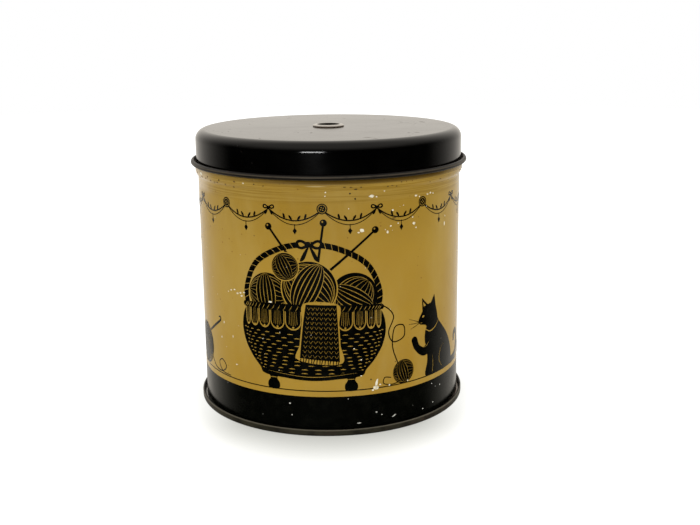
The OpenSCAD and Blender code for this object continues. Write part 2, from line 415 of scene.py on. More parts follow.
def black_lacquer():
    """The lid: black lacquer outside, tinplate inside, and a curled edge worn to dark metal."""
    f = Finish("black_lacquer_worn")
    haze = f.times(f.patches(38, 4, 0.35, 0.7, roughness=0.6), 0.4)
    dust = f.times(
        f.between(f.upward, 0.8, 1.0), f.patches(75, 5, 0.42, 0.75, roughness=0.6, stretch=(0.7, 1, 1)), 0.35,
    )
    fine = f.times(f.hairlines(34, 0.0007), f.patches(20, 1, 0.58, 0.64), f.between(f.upward, 0.9, 1.0))
    dots = f.specks(260, 0.12, 42, 0.56, 0.62)
    marks = lid_marks(f)
    under_top = f.times(f.between(f.upward, -0.4, -0.6), f.between(f.radius, *LID_TOP_INSIDE_R, 1.0, 0.0))
    under_wall = f.times(f.inside(), f.between(f.upward, 0.9, 0.6), f.zone(f.radius, *LID_WALL_INSIDE_R))
    tin = f.largest(under_top, under_wall)
    # The curl stands out past the wall: its lacquer is gone, and its groove holds rust
    curl = f.between(f.radius, *CURL_R)
    rust = f.largest(
        f.times(curl, f.between(f.outward, 0.1, -0.3)), f.times(curl, f.patches(60, 3, 0.64, 0.72), 0.7),
    )
    tin_colour, tin_rough = bare_tin(f)
    colour = f.layered(
        BLACK, (haze, BLACK_WORN), (dust, LID_DUST), (f.times(fine, 0.3), LID_SCRATCH),
        (f.times(dots, 0.5), LID_DOT), (f.times(marks, 0.8), LID_MARK), (curl, curled_edge(f, curl, rust)),
        (tin, tin_colour),
    )
    gloss = f.plus(
        f.patches(60, 4, 0.3, 0.7, 0.10, 0.15, roughness=0.6, stretch=(0.5, 1, 1)),
        f.times(f.largest(fine, dots, marks), 0.4), f.times(curl, 0.3),
    )
    metal = f.largest(f.times(curl, f.between(rust, 0, 1, 0.3, 0.05)), f.times(tin, TIN_METAL))
    return f.ended(
        f.plus(f.times(f.noise(55, 2), 0.5), f.times(fine, -0.04)), 0.3, 0.0004,
        Base_Color=colour, Metallic=metal, Roughness=f.mix(tin, gloss, tin_rough),
    )


SEAM_OLIVE = srgb(64, 60, 44)
SEAM_DEEP = srgb(42, 38, 27)
SEAM_RUST = srgb(58, 38, 26)
SEAM_PAINTED_HIGHLIGHT = srgb(118, 112, 96)
SEAM_DIRT_AND_SHADE = srgb(9, 7, 5)
SEAM_CONTACT_SHADE = srgb(20, 17, 13)
SEAM_R = (0.0612, 0.0618)
SEAM_EDGE_R = (0.0636, 0.0638)
SEAM_LEE_R = (0.0638, 0.0635)
SEAM_HIGHLIGHT_Z = (0.0022, 0.0027)
SEAM_LEE_Z = (0.0018, 0.0024)
SEAM_CONTACT_SHADE_Z = (0.0008, 0.0003)


def seam_metal():
    """The bottom: tinplate inside and below, and a seam ring gone olive brown with rust in its lee; a painted
    highlight lies on its top edge, painted shade in its crevice and at its foot.
    """
    f = Finish("bare_tinplate_dulled")
    tin_colour, tin_rough = bare_tin(f)
    ring = f.between(f.radius, *SEAM_R)
    rusty = f.times(f.patches(52, 4, 0.56, 0.7, roughness=0.65), 0.7)
    ring_colour = f.layered(
        SEAM_OLIVE, (f.patches(140, 4, 0.35, 0.68, roughness=0.6), SEAM_DEEP), (rusty, SEAM_RUST),
        # Painted highlight along the ring's top edge
        (f.times(f.between(f.z, *SEAM_HIGHLIGHT_Z, 0.0, 0.6), f.between(f.radius, *SEAM_EDGE_R)), SEAM_PAINTED_HIGHLIGHT),
        # Painted shade, with dirt, in the crevice where the ring meets the wall
        (f.times(f.between(f.z, *SEAM_LEE_Z), f.between(f.radius, *SEAM_LEE_R)), SEAM_DIRT_AND_SHADE),
        # Painted contact shade at the ring's foot
        (f.between(f.z, *SEAM_CONTACT_SHADE_Z, 0.0, 0.8), SEAM_CONTACT_SHADE),
    )
    return f.ended(
        f.plus(f.noise(600, 3), f.times(rusty, -0.5)), 0.25, 0.0001,
        Base_Color=f.blend(ring, tin_colour, ring_colour),
        Metallic=f.mix(ring, TIN_METAL, f.between(rusty, 0, 1, 0.5, 0.1)),
        Roughness=f.mix(ring, tin_rough, f.between(rusty, 0, 1, 0.5, 0.8)),
    )


EYELET_SKIRT = srgb(96, 76, 60)
EYELET_PAINTED_SHEEN = srgb(158, 151, 141)
BORE_R = (0.0054, 0.0052)
FACE_R = (0.0052, 0.0054)
FACE_Z = (0.1290, 0.1295)
SKIRT_R = (0.0070, 0.0072)


def eyelet_lacquer():
    """The yarn hole's eyelet: a flange painted light grey as a painted reflection, a brown skirt and a black
    bore.
    """
    f = Finish("eyelet_lacquer_worn_and_sheen")
    face = f.times(f.between(f.upward, 0.02, 0.2), f.between(f.radius, *FACE_R), f.between(f.z, *FACE_Z))
    # Painted reflection: the flange's face is painted light grey, with a little metal
    face_sheen = f.times(face, f.patches(380, 3, 0.25, 0.5, 0.75, 1.0))
    skirt = f.times(f.between(f.radius, *SKIRT_R), f.between(f.upward, 0.2, 0.02))
    bore = f.times(f.between(f.outward, 0.0, -0.1), f.between(f.radius, *BORE_R))
    return f.ended(
        f.noise(900, 2), 0.15, 0.00005,
        Base_Color=f.layered(BLACK, (skirt, EYELET_SKIRT), (face_sheen, EYELET_PAINTED_SHEEN)), Metallic=f.times(face_sheen, 0.2),
        Roughness=f.patches(700, 3, 0.3, 0.7, 0.16, 0.26),
        Specular_IOR_Level=f.between(bore, 0, 1, 0.5, 0.05),
    )


INK_THICK = srgb(3, 4, 2)
INK_THIN = srgb(14, 14, 9)
INK_SHEEN = (0.94, 1.0, 0.88, 1.0)


def ink_finish():
    """Black printing ink, with the faint brown it shows where it lies thin."""
    f = Finish("black_ink")
    thin = f.times(f.patches(260, 4, 0.4, 0.75, roughness=0.6), 0.5)
    return f.ended(
        rolled_sheet(f, f.noise(2400, 2, 0.6)), 0.35, 0.0004, Base_Color=f.blend(thin, INK_THICK, INK_THIN),
        Roughness=f.patches(120, 3, 0.3, 0.7, 0.20, 0.28), Specular_Tint=INK_SHEEN,
    )


CHIP_BRIGHT = srgb(228, 222, 200)
CHIP_DULL = srgb(196, 180, 142)
CHIP_COLD = srgb(186, 190, 188)
CHIP_COLD_Z = (0.0180, 0.0172)


def chip_tin():
    """Bare tin in a chip, bright, with a dull brown edge here and there, and colder on the foot's band."""
    f = Finish("chip_tin")
    colour = f.layered(
        CHIP_BRIGHT, (f.patches(700, 3, 0.42, 0.7), CHIP_DULL),
        (f.between(f.z, *CHIP_COLD_Z, 0.0, 0.7), CHIP_COLD),
    )
    rough = f.patches(1500, 2, 0.3, 0.7, 0.4, 0.6)
    return f.ended(f.noise(1800, 2), 0.3, 0.00005, Base_Color=colour, Roughness=rough)


SPECK_DARK = srgb(46, 32, 14)
SPECK_BROWN = srgb(96, 68, 27)


def speck_rust():
    """Dark worn specks, where the enamel has gone down to rusted metal."""
    f = Finish("speck_rust")
    return f.ended(
        f.noise(1500, 2), 0.4, 0.00005,
        Base_Color=f.blend(f.patches(900, 3, 0.4, 0.7), SPECK_DARK, SPECK_BROWN),
        Roughness=f.patches(1500, 2, 0.3, 0.7, 0.55, 0.8), Specular_IOR_Level=0.2,
    )


# Drawing in the flat. A place is its arc and height in millimetres

def curved(points, closed=False, step=0.6):
    """A smooth line through the points, as points about a step apart."""
    points = [Vector(p) for p in points]
    count = len(points)
    spans = count if closed else count - 1
    made = []
    for i in range(spans):
        if closed:
            a, b, c, d = (points[(i + k) % count] for k in (-1, 0, 1, 2))
        else:
            b, c = points[i], points[i + 1]
            a = points[i - 1] if i else b * 2 - c
            d = points[i + 2] if i + 2 < count else c * 2 - b
        parts = max(2, round((c - b).length / step))
        for k in range(parts):
            t = k / parts
            made.append(0.5 * (
                2 * b + (c - a) * t + (2 * a - 5 * b + 4 * c - d) * t * t + (3 * b - a - 3 * c + d) * t ** 3
            ))
    if not closed:
        made.append(points[-1])
    return [(p.x, p.y) for p in made]


def round_end(end, heading, r):
    """The points of a half circle that closes a line's end, from its left side to its right."""
    start = math.atan2(heading[1], heading[0]) + math.pi / 2
    parts = 3 if r < 0.4 else 6
    turns = [start - math.pi * k / parts for k in range(1, parts)]
    return [(end[0] + r * math.cos(a), end[1] + r * math.sin(a)) for a in turns]


def stroke(points, width, smooth=True, step=0.6):
    """The outline of a line with round ends; width is one number, or several spread evenly along it."""
    path = np.array(curved(points, step=step) if smooth else points, float)
    run = np.concatenate(([0], np.cumsum(np.hypot(*np.diff(path, axis=0).T))))
    widths = np.atleast_1d(np.array(width, float))
    if len(widths) == 1:
        widths = np.repeat(widths, 2)
    half = np.interp(run / run[-1], np.linspace(0, 1, len(widths)), widths) / 2
    ahead = np.gradient(path, axis=0)
    ahead /= np.hypot(*ahead.T)[:, None]
    side = np.stack((-ahead[:, 1], ahead[:, 0]), 1) * half[:, None]
    there = [tuple(p) for p in path + side]
    back = [tuple(p) for p in (path - side)[::-1]]
    return there + round_end(path[-1], ahead[-1], half[-1]) + back + round_end(path[0], -ahead[0], half[0])


def line(points, width):
    """The outline of a straight line with round ends."""
    return stroke(points, width, smooth=False)


def blob(points, step=0.6):
    """A smooth closed outline through the points."""
    return curved(points, True, step)


def oval(u, z, wide, tall=None, turn=0.0, start=0.0):
    """An ellipse's outline, or the part of it from start to its end, in degrees."""
    tall = wide if tall is None else tall
    count = max(8, min(64, round(math.pi * (wide + tall) / 0.7)))
    angles = np.radians(np.linspace(start, 360, count, endpoint=start > 0))
    c, s = math.cos(math.radians(turn)), math.sin(math.radians(turn))
    places = [(wide * math.cos(a), tall * math.sin(a)) for a in angles]
    return [(u + a * c - b * s, z + a * s + b * c) for a, b in places]


def mirrored(half):
    """The right half of an outline, with its mirror image put before it."""
    return [(-u, z) for u, z in half] + [(u, z) for u, z in reversed(half)]


def moved(shapes, u=0.0, z=0.0, scale=1.0, turn=0.0, flip=False):
    """Shapes turned, scaled and moved; flip mirrors them left to right first."""
    c, s = math.cos(math.radians(turn)) * scale, math.sin(math.radians(turn)) * scale
    side = -1 if flip else 1
    return [
        (black, [(u + side * a * c - b * s, z + side * a * s + b * c) for a, b in outline])
        for black, outline in shapes
    ]


class Drawing:
    """Shapes in painting order: each one lays ink down or takes it away."""

    def __init__(self):
        self.shapes = []

    def ink(self, *outlines):
        self.shapes += [(True, o) for o in outlines]

    def cut(self, *outlines):
        self.shapes += [(False, o) for o in outlines]

    def add(self, shapes):
        self.shapes += shapes


# Thin shells on the wall

def inside(outline, points):
    """Which points the outline winds round."""
    a = np.array(outline, float)
    wound = np.zeros(len(points), int)
    for (ax, ay), (bx, by) in zip(a, np.roll(a, -1, 0)):
        if ay == by:
            continue
        left = (bx - ax) * (points[:, 1] - ay) - (points[:, 0] - ax) * (by - ay)
        wound += ((ay <= points[:, 1]) & (by > points[:, 1]) & (left > 0)).astype(int)
        wound -= ((ay > points[:, 1]) & (by <= points[:, 1]) & (left < 0)).astype(int)
    return wound != 0


def inked_triangles(shapes):
    """The drawing's corners and triangles in the flat, cut upright so that they can bend round the wall."""
    points, edges = [], []

    def chain(outline, closed=True):
        first, last = len(points), len(points) + len(outline) - 1
        points.extend(Vector(p) for p in outline)
        edges.extend((k, k + 1) for k in range(first, last))
        if closed:
            edges.append((last, first))

    for _, outline in shapes:
        chain(outline)
    flat = np.array([tuple(p) for p in points])
    (left, low), (right, high) = flat.min(0) - 0.5, flat.max(0) + 0.5
    for k in range(math.floor(left / FACET), math.ceil(right / FACET) + 1):
        cut = k * FACET + FACET_START
        chain([(cut, low), (cut, high)], closed=False)
    places, _, triangles, *_ = delaunay_2d_cdt(points, edges, [], 0, 1e-5, False)
    places = np.array([tuple(p) for p in places])
    triangles = np.array([t for t in triangles if len(t) == 3])
    centres = places[triangles].mean(1)
    kept = np.zeros(len(triangles), bool)
    for black, outline in shapes:
        corners = np.array(outline, float)
        near = np.flatnonzero(np.all((centres >= corners.min(0)) & (centres <= corners.max(0)), 1))
        kept[near[inside(outline, centres[near])]] = black
    triangles = triangles[kept]
    a, b, c = (places[triangles[:, k]] for k in range(3))
    turned = (b[:, 0] - a[:, 0]) * (c[:, 1] - a[:, 1]) - (b[:, 1] - a[:, 1]) * (c[:, 0] - a[:, 0]) < 0
    triangles[turned] = triangles[turned][:, ::-1]
    used, triangles = np.unique(triangles, return_inverse=True)
    return places[used], triangles.reshape(-1, 3)


def shell(name, shapes, material, lift=INK_LIFT, radius_at=None):
    """A thin closed shell on the can's wall with the drawing's outline."""
    places, triangles = inked_triangles(shapes)
    count = len(places)
    radius = np.full(count, WALL_R) if radius_at is None else radius_at(places[:, 1])
    angles = places[:, 0] / WALL_R
    heading = np.stack((np.sin(angles), -np.cos(angles)), 1)
    corners = np.vstack([
        np.column_stack((heading * r[:, None], places[:, 1])) for r in (radius + lift, radius - SINK)
    ]) * MM
    edges = {(int(t[k]), int(t[(k + 1) % 3])): True for t in triangles for k in range(3)}
    faces = [tuple(int(v) for v in t) for t in triangles]
    faces += [tuple(int(v) + count for v in t[::-1]) for t in triangles]
    faces += [(j, i, i + count, j + count) for i, j in edges if (j, i) not in edges]
    mesh = bpy.data.meshes.new(name)
    mesh.from_pydata(corners.tolist(), [], faces)
    mesh.polygons.foreach_set("use_smooth", [True] * len(faces))
    mesh.update()
    # The face follows the round wall exactly in its shading too
    normals = []
    for polygon in mesh.polygons:
        if polygon.index < len(triangles):
            normals += [(heading[v][0], heading[v][1], 0.0) for v in polygon.vertices]
        elif polygon.index < 2 * len(triangles):
            normals += [(-heading[v - count][0], -heading[v - count][1], 0.0) for v in polygon.vertices]
        else:
            normals += [tuple(polygon.normal)] * len(polygon.vertices)
    mesh.normals_split_custom_set(normals)
    mesh.materials.append(material)
    made = bpy.data.objects.new(name, mesh)
    scene.collection.objects.link(made)
    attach(made, "can")


# Small motifs of the print, each placed by its middle

def wool_ball(u, z, r, turn=0.0, rows=4):
    """A ball of wool: a disc with two bundles of wound threads left open in it, one laid over the other."""
    under, over = Drawing(), Drawing()
    width = max(0.2, r * 0.034)
    turns = np.radians(np.linspace(-84, 84, 13))

    def meridian(share):
        return [(share * r * math.cos(a), 0.97 * r * math.sin(a)) for a in turns]

    under.ink(oval(0, 0, r))
    for k in range(rows * 2 + 1):
        share = 0.92 * math.sin((k / rows - 1) * 1.2)
        under.cut(stroke(meridian(share), (width * 0.4, width, width * 0.4), step=0.9))
    over.ink(blob(meridian(-0.62) + meridian(0.42)[::-1], 0.9))
    for k in range(rows + 2):
        share = -0.6 + k / (rows + 1)
        over.cut(stroke(meridian(share), (width * 0.4, width * 1.1, width * 0.4), step=0.9))
    return moved(under.shapes, u, z, 1.0, turn + 62) + moved(over.shapes, u, z, 1.0, turn - 14)


def bow(u, z, size):
    """A tied ribbon bow with two loops and two tails."""
    loop = [(0, 0), (3.2, 2.6), (6.0, 2.2), (6.4, -0.6), (3.4, -1.9)]
    eye = [(2.0, 0.2), (4.0, 1.5), (5.2, 0.9), (4.2, -0.6)]
    tail = [(0, 0), (2.6, -3.2), (4.6, -7.6), (2.6, -7.0), (1.0, -3.4)]
    half = [(True, blob(loop)), (False, blob(eye)), (True, blob(tail))]
    return moved(half + moved(half, flip=True) + [(True, oval(0, 0, 1.25, 1.05))], u, z, size)


def button(u, z, r, turn=20.0):
    """A four hole button with a raised rim."""
    art = Drawing()
    art.ink(oval(0, 0, r))
    art.cut(oval(0, 0, r * 0.80))
    art.ink(oval(0, 0, r * 0.68))
    for k in range(4):
        a = math.radians(45 + 90 * k)
        art.cut(oval(r * 0.27 * math.cos(a), r * 0.27 * math.sin(a), r * 0.125))
    return moved(art.shapes, u, z, 1.0, turn)


# The work basket, drawn at its heights on the wall, round arc 0

# Heights and half widths of the basket's side, from the rim down
BASKET_SIDE = (
    (57.5, 30.0), (53.0, 32.6), (46.5, 33.4), (40.0, 31.8), (34.0, 28.2), (29.5, 24.2), (27.0, 22.6),
)
WICKER_ROWS = 11
WICKER_FOOT = 29.4
WICKER_PITCH = 1.75
SLIT_PITCH = 4.1
SCALLOPS = 11
PLAITS = 30
NEEDLES = (((8, 58), (-18.2, 93.4)), ((-9, 60), (28.6, 91.8)), ((1, 60), (6.2, 95.6)))


def round_front(share, turn):
    """Where a share of a turn, -1..1, stands across a round front that shows that turn to each side."""
    return math.sin(share * turn) / math.sin(turn)


def handle(art):
    """A wrapped arch."""
    arch = mirrored([(29.5, 55), (30.5, 65), (24.8, 77), (12.5, 84.2)])
    arch.insert(len(arch) // 2, (0, 86.2))
    art.ink(stroke(arch, 2.5))
    path = np.array(curved(arch, step=1.0))
    for k in range(3, len(path) - 3, 3):
        ahead = path[k + 1] - path[k - 1]
        ahead /= np.hypot(*ahead)
        slant = np.array((-ahead[1], ahead[0])) * 1.5 - ahead * 0.7
        art.cut(line([tuple(path[k] + slant), tuple(path[k] - slant)], 0.26))


def contents(art):
    """Needles with their knobs, and four balls of wool in front of them."""
    for foot, head in NEEDLES:
        art.ink(line([foot, head], (1.3, 1.1, 0.9)), oval(*head, 1.55))
        art.cut(oval(head[0] - 0.4, head[1] + 0.5, 0.42))
    art.add(wool_ball(-19.5, 63.5, 9.3, 20))
    art.ink(oval(19.0, 63.0, 10.6))
    art.add(wool_ball(19.0, 63.0, 9.6, 75))
    art.cut(oval(-0.5, 66.8, 12.6))
    art.add(wool_ball(-0.5, 66.8, 12.0, -12, 5))
    art.cut(oval(-11.0, 76.2, 6.5))
    art.add(wool_ball(-11.0, 76.2, 6.0, 40, 3))


def wicker(art):
    """The body, with open slits between the weavers, staggered row by row."""
    right = [(half, z) for z, half in BASKET_SIDE]
    left = [(-half, z) for z, half in reversed(BASKET_SIDE)]
    under = [(16, 26.0), (0, 25.6), (-16, 26.0)]
    over = [(-26, 59.0), (0, 59.6), (26, 59.0)]
    art.ink(blob(right + under + left + over))
    heights, halves = zip(*reversed(BASKET_SIDE))
    for row in range(WICKER_ROWS):
        z = WICKER_FOOT + WICKER_PITCH * row
        half = float(np.interp(z, heights, halves)) - 1.6
        count = round(half * 2 / SLIT_PITCH)
        for k in range(count + 1 - row % 2):
            t = (k + 0.5 * (row % 2)) / count * 2 - 1
            u = half * round_front(t, math.pi * 0.47)
            long = 1.65 * max(0.35, math.cos(t * math.pi * 0.45))
            sagged = z - 1.2 * (1 - t * t)
            slit = [(u - long, sagged), (u, sagged + 0.34), (u + long, sagged), (u, sagged - 0.12)]
            art.cut(blob(slit, 0.9))


def frill(art):
    """The lining: a gathered frill with a scalloped hem that hangs over the rim."""
    for k in range(SCALLOPS):
        share = 2 * k / SCALLOPS - 1
        left = 31.4 * round_front(share, 1.35)
        right = 31.4 * round_front(share + 2 / SCALLOPS, 1.35)
        mid, wide = (left + right) / 2, (right - left) / 2
        drop = 7.4 + 0.5 * math.cos(share * 1.5)
        hem = oval(mid, 51.6, wide - 0.12, drop - 4.0, start=180)
        art.cut([(left + 0.12, 57)] + hem + [(right - 0.12, 57)])
        hem = oval(mid, 51.7, wide - 0.55, drop - 4.6, start=180)
        art.ink([(left + 0.5, 57)] + hem + [(right - 0.5, 57)])
        folds = 5 if wide > 2.2 else 3
        for fold in range(folds):
            s = (fold + 1) / (folds + 1) * 2 - 1
            foot = (mid + s * wide * 0.72, 51.2 - (1 - s * s) * 1.4)
            art.cut(line([(mid + s * wide * 0.55, 56.4), foot], (0.12, 0.34, 0.2)))
        art.cut(oval(mid, 49.0, min(0.5, wide * 0.2)))


def plaited_rim(art):
    for k in range(PLAITS):
        share = (2 * k + 1) / PLAITS - 1
        squeeze = 0.4 + 0.6 * math.cos(share * 1.35)
        art.ink(oval(31.6 * round_front(share, 1.4), 57.6, 2.1 * squeeze, 1.35, 24))
    for k in range(1, PLAITS):
        u = 31.6 * round_front(2 * k / PLAITS - 1, 1.4)
        art.cut(stroke([(u - 0.7, 56.5), (u + 0.1, 57.6), (u + 0.7, 58.8)], (0.1, 0.3, 0.1)))


def feet(art):
    foot = Drawing()
    foot.ink(blob(mirrored([(3.4, 28.0), (1.6, 25.4), (2.9, 22.8), (2.2, 20.3)])))
    foot.cut(line([(-1.3, 25.5), (1.3, 25.5)], 0.3))
    for side in (-1, 1):
        art.add(moved(foot.shapes, side * 17.5))
    art.ink(stroke([(-21, 28), (0, 26.3), (21, 28)], 2.6))
    art.cut(stroke([(-20, 28.3), (0, 26.7), (20, 28.3)], (0.1, 0.32, 0.1)))


def knitting():
    """A strip of knitting with rows of stitches and a fringe."""
    art = Drawing()
    art.cut(blob([
        (-8.2, 13.5), (-9.3, 4), (-10.2, -7), (-10.7, -14.6), (9.9, -15.6), (9.3, -6), (8.5, 4), (7.7, 13.5),
    ]))
    art.ink([
        (-7.5, 13.0), (-8.6, 4), (-9.4, -6), (-9.9, -13.5), (9.2, -14.6), (8.6, -6), (7.8, 4), (7.0, 13.2),
    ])
    for row in range(11):
        z = 11.2 - row * 2.35
        half = 7.0 + row * 2.35 * 0.085
        for s in range(7):
            u = -half + (s + 0.5) * 2 * half / 7
            for side in (-1, 1):
                art.cut(line([(u, z - 0.75), (u + side * half / 9.5, z + 0.55)], (0.16, 0.34, 0.16)))
    for s in range(15):
        u = -9.4 + s * 1.31
        mid, end = u - 0.25 + 0.3 * math.sin(s * 2.1), u + 0.35 * math.sin(s * 1.7)
        art.ink(stroke([(u, -13.9), (mid, -16.4), (end, -18.6)], (0.5, 0.34, 0.22)))
    return art.shapes


def basket():
    """A wicker work basket on turned feet, with a frilled lining, wool, needles and a bow on its handle."""
    art = Drawing()
    for part in (handle, contents, wicker, frill, plaited_rim, feet):
        part(art)
    art.add(bow(0, 85.8, 0.9))
    art.add(moved(knitting(), 4.5, 47.5, 0.92, -2))
    return art.shapes


# The other motifs. Each is drawn round a place of its own, apart from the strand, which is drawn in place

def cat():
    """A seated cat that reaches for the thread."""
    art = Drawing()
    art.ink(blob([
        (-9.2, 0.2), (-10.2, 2.0), (-8.9, 7.0), (-9.3, 12.0), (-10.6, 16.5), (-10.4, 20.4), (-9.6, 22.6),
        (-10.9, 23.6), (-13.5, 24.2), (-14.5, 25.8), (-13.9, 27.4), (-12.4, 29.4), (-11.4, 31.0),
        (-8.6, 32.3), (-5.6, 32.2), (-3.4, 30.4), (-2.3, 27.4), (-1.4, 24.2), (1.8, 20.8), (6.6, 15.8),
        (10.4, 10.0), (12.2, 4.6), (11.2, 0.9), (6.0, 0.1), (0.0, 0.3), (-4.0, 0.1),
    ]))
    # Ears, eye and mouth
    art.ink([(-12.2, 29.6), (-12.5, 35.6), (-8.0, 31.4)], [(-7.6, 31.4), (-4.4, 35.8), (-3.2, 30.0)])
    art.cut([(-11.5, 31.6), (-11.9, 34.0), (-10.0, 32.0)], oval(-11.7, 27.4, 0.75, 0.5, 20))
    art.cut(line([(-12.4, 24.7), (-13.6, 25.1)], 0.22))
    # Raised paw and the line over it, haunch, foreleg and collar
    art.ink(stroke([(-7.2, 13.6), (-11.2, 11.8), (-15.2, 14.4), (-16.8, 18.0)], (5.0, 3.8, 3.0, 3.2)))
    for points, width in (
        ([(-7.6, 16.0), (-9.4, 14.1), (-11.2, 13.5)], (0.1, 0.34, 0.1)),
        ([(2.6, 1.6), (0.0, 5.0), (0.9, 9.8), (4.6, 12.4)], (0.12, 0.36, 0.3, 0.1)),
        ([(-5.2, 1.2), (-4.9, 5.4), (-5.5, 9.2)], (0.3, 0.3, 0.1)),
        ([(-10.2, 21.4), (-7.0, 20.0), (-3.6, 21.2), (-1.2, 23.4)], (0.3, 0.55, 0.55, 0.3)),
    ):
        art.cut(stroke(points, width))
    # Ringed tail and whiskers
    tail = [(9.0, 1.7), (15.0, 1.5), (20.4, 3.4), (22.6, 8.4), (20.0, 13.2), (16.6, 12.4), (16.4, 10.0)]
    art.ink(stroke(tail, (3.4, 3.2, 3.0, 2.8, 2.4, 1.8)))
    for k in range(4):
        ring = [(18.2 + k * 1.1, 1.6 + k * 1.6), (16.9 + k * 1.2, 4.4 + k * 1.2)]
        art.cut(line(ring, (0.1, 0.26, 0.1)))
    for end in ((-19.6, 27.6), (-19.9, 25.4), (-18.9, 23.2)):
        art.ink(line([(-13.2, 25.2), end], (0.3, 0.12)))
    return art.shapes


def thread_line():
    """The strand that runs from the basket to the cat's ball of wool."""
    art = Drawing()
    art.ink(stroke([
        (14.0, 58.6), (22.6, 58.0), (28.2, 52.6), (25.8, 45.4), (28.2, 40.6), (33.6, 42.2), (33.4, 47.4),
        (28.8, 47.0), (27.8, 38.4), (30.8, 29.4),
    ], (0.55, 0.5, 0.5, 0.5)))
    art.add(wool_ball(33.6, 25.9, 5.6, 30, 3))
    art.ink(stroke([(31.0, 21.4), (27.4, 20.9), (23.4, 21.9), (23.9, 24.6), (26.9, 24.2)], 0.42))
    return art.shapes


def spool():
    """A spool of thread with a needle."""
    art = Drawing()
    for level, way in ((0.0, 1), (26.0, -1)):
        art.ink(blob(mirrored([(9.6, level), (9.9, level + way * 1.6), (6.2, level + way * 4.2)])))
    art.ink(mirrored([(7.4, 3.6), (8.0, 8.0), (8.1, 13.0), (8.0, 18.0), (7.4, 22.4)]))
    for k in range(13):
        z = 5.0 + k * 1.32
        art.cut(stroke([(-7.0, z + 0.5), (0, z - 0.35), (7.0, z + 0.1)], (0.12, 0.32, 0.12)))
    art.cut(stroke([(-8.6, 1.5), (0, 0.9), (8.6, 1.5)], (0.12, 0.3, 0.12)))
    art.cut(oval(0, 25.2, 2.6, 0.55))
    needle = [(-14.5, 7.5), (16.5, 33.5)]
    art.cut(line(needle, 1.9))
    art.ink(line(needle, (0.2, 1.1, 1.3, 1.5)))
    art.cut(line([(14.0, 31.4), (15.4, 32.6)], 0.5))
    art.ink(stroke([
        (7.6, 19.0), (13.0, 20.4), (12.8, 27.0), (14.8, 32.0), (20.8, 33.6), (24.6, 28.4), (20.4, 22.6),
        (23.0, 15.4), (27.6, 12.0),
    ], 0.5))
    return art.shapes


def scissors():
    """Embroidery scissors, half open."""
    half = Drawing()
    half.ink(blob([
        (0.0, 1.6), (1.9, 6.0), (2.6, 14.0), (2.2, 22.0), (0.3, 30.0), (-0.2, 22.0), (-0.9, 12.0),
        (-1.3, 4.0), (-1.6, -2.0),
    ]))
    half.cut(stroke([(0.9, 5.6), (1.4, 14.0), (0.9, 24.0)], (0.12, 0.36, 0.12)))
    half.ink(stroke([(-0.6, 1.0), (-1.8, -4.4), (-3.0, -9.4), (-4.4, -13.6)], (2.8, 1.9, 1.7, 2.2)))
    half.ink(oval(-6.9, -19.4, 5.2, 6.9, -14))
    half.cut(oval(-6.9, -19.4, 3.5, 5.0, -14))
    half.ink(oval(-2.5, -7.2, 1.6, 1.2, 30), oval(-3.9, -11.8, 1.5, 1.1, 30))
    art = Drawing()
    for side in (-1, 1):
        art.add(moved(half.shapes, turn=11.0 * side, flip=side < 0))
    # The screw
    art.ink(oval(0, 0, 2.3))
    art.cut(oval(0, 0, 1.5))
    art.ink(oval(0, 0, 1.15))
    art.cut(line([(-0.8, -0.3), (0.8, 0.3)], 0.28))
    return art.shapes


def thimble():
    """A thimble with dimples."""
    art = Drawing()
    art.ink(blob(mirrored([
        (4.0, -0.2), (8.2, 0.8), (8.3, 2.6), (7.3, 3.4), (6.0, 12.0), (5.0, 17.4), (2.6, 19.8),
    ])))
    art.cut(stroke([(-7.2, 3.6), (0.0, 2.7), (7.2, 3.6)], (0.15, 0.4, 0.15)))
    for row in range(8):
        half = 5.9 - row * 0.27
        for k in range(7):
            t = (k + 0.5 * (row % 2)) / 6.5 * 2 - 1
            if abs(t) < 0.97:
                wide = 0.46 * max(0.4, math.cos(t * 1.2))
                art.cut(oval(half * math.sin(t * 1.25), 5.4 + row * 1.75, wide, 0.46))
    return art.shapes


def pincushion():
    """A round segmented pincushion with pins."""
    art = Drawing()
    for foot, head in (
        ((-5, 12), (-14.5, 25.5)), ((-1, 13), (-4.5, 29.5)), ((3, 13), (6.5, 28.0)), ((6, 12), (16.0, 22.5)),
        ((0, 13), (1.2, 24.0)),
    ):
        art.ink(line([foot, head], (0.7, 0.5)), oval(*head, 1.35))
        art.cut(oval(head[0] - 0.35, head[1] + 0.4, 0.34))
    art.ink(oval(0, 8.4, 15.4, 8.6))
    for s in (-0.86, -0.5, 0.0, 0.5, 0.86):
        rib = [(0, 16.0), (s * 9.0, 14.6), (s * 15.2, 8.6), (s * 10.4, 2.6), (s * 3.0, 0.7)]
        art.cut(stroke(rib, (0.2, 0.42, 0.46, 0.42, 0.15)))
    for k in range(6):
        a = math.radians(20 + 28 * k)
        art.cut(oval(2.4 * math.cos(a), 15.2 + 1.0 * math.sin(a), 1.0, 0.4, math.degrees(a)))
    return art.shapes


def skein():
    """A ball of wool with a crochet hook and a loose end."""
    art = Drawing()
    art.ink(line([(-17.0, -7.5), (19.0, 15.5)], (1.3, 1.7, 1.2)))
    art.ink(stroke([(18.6, 15.2), (20.6, 16.9), (20.2, 18.4), (18.9, 17.9)], (1.2, 1.0, 0.5)))
    art.cut(oval(0, 0, 11.6))
    art.add(wool_ball(0, 0, 11.0, 10, 5))
    art.ink(stroke([
        (9.6, -5.4), (14.0, -9.4), (20.6, -9.9), (24.4, -6.6), (20.8, -3.6), (17.8, -6.0), (21.0, -9.9),
        (28.0, -10.4),
    ], (0.6, 0.5, 0.5, 0.4)))
    return art.shapes


# The whole print

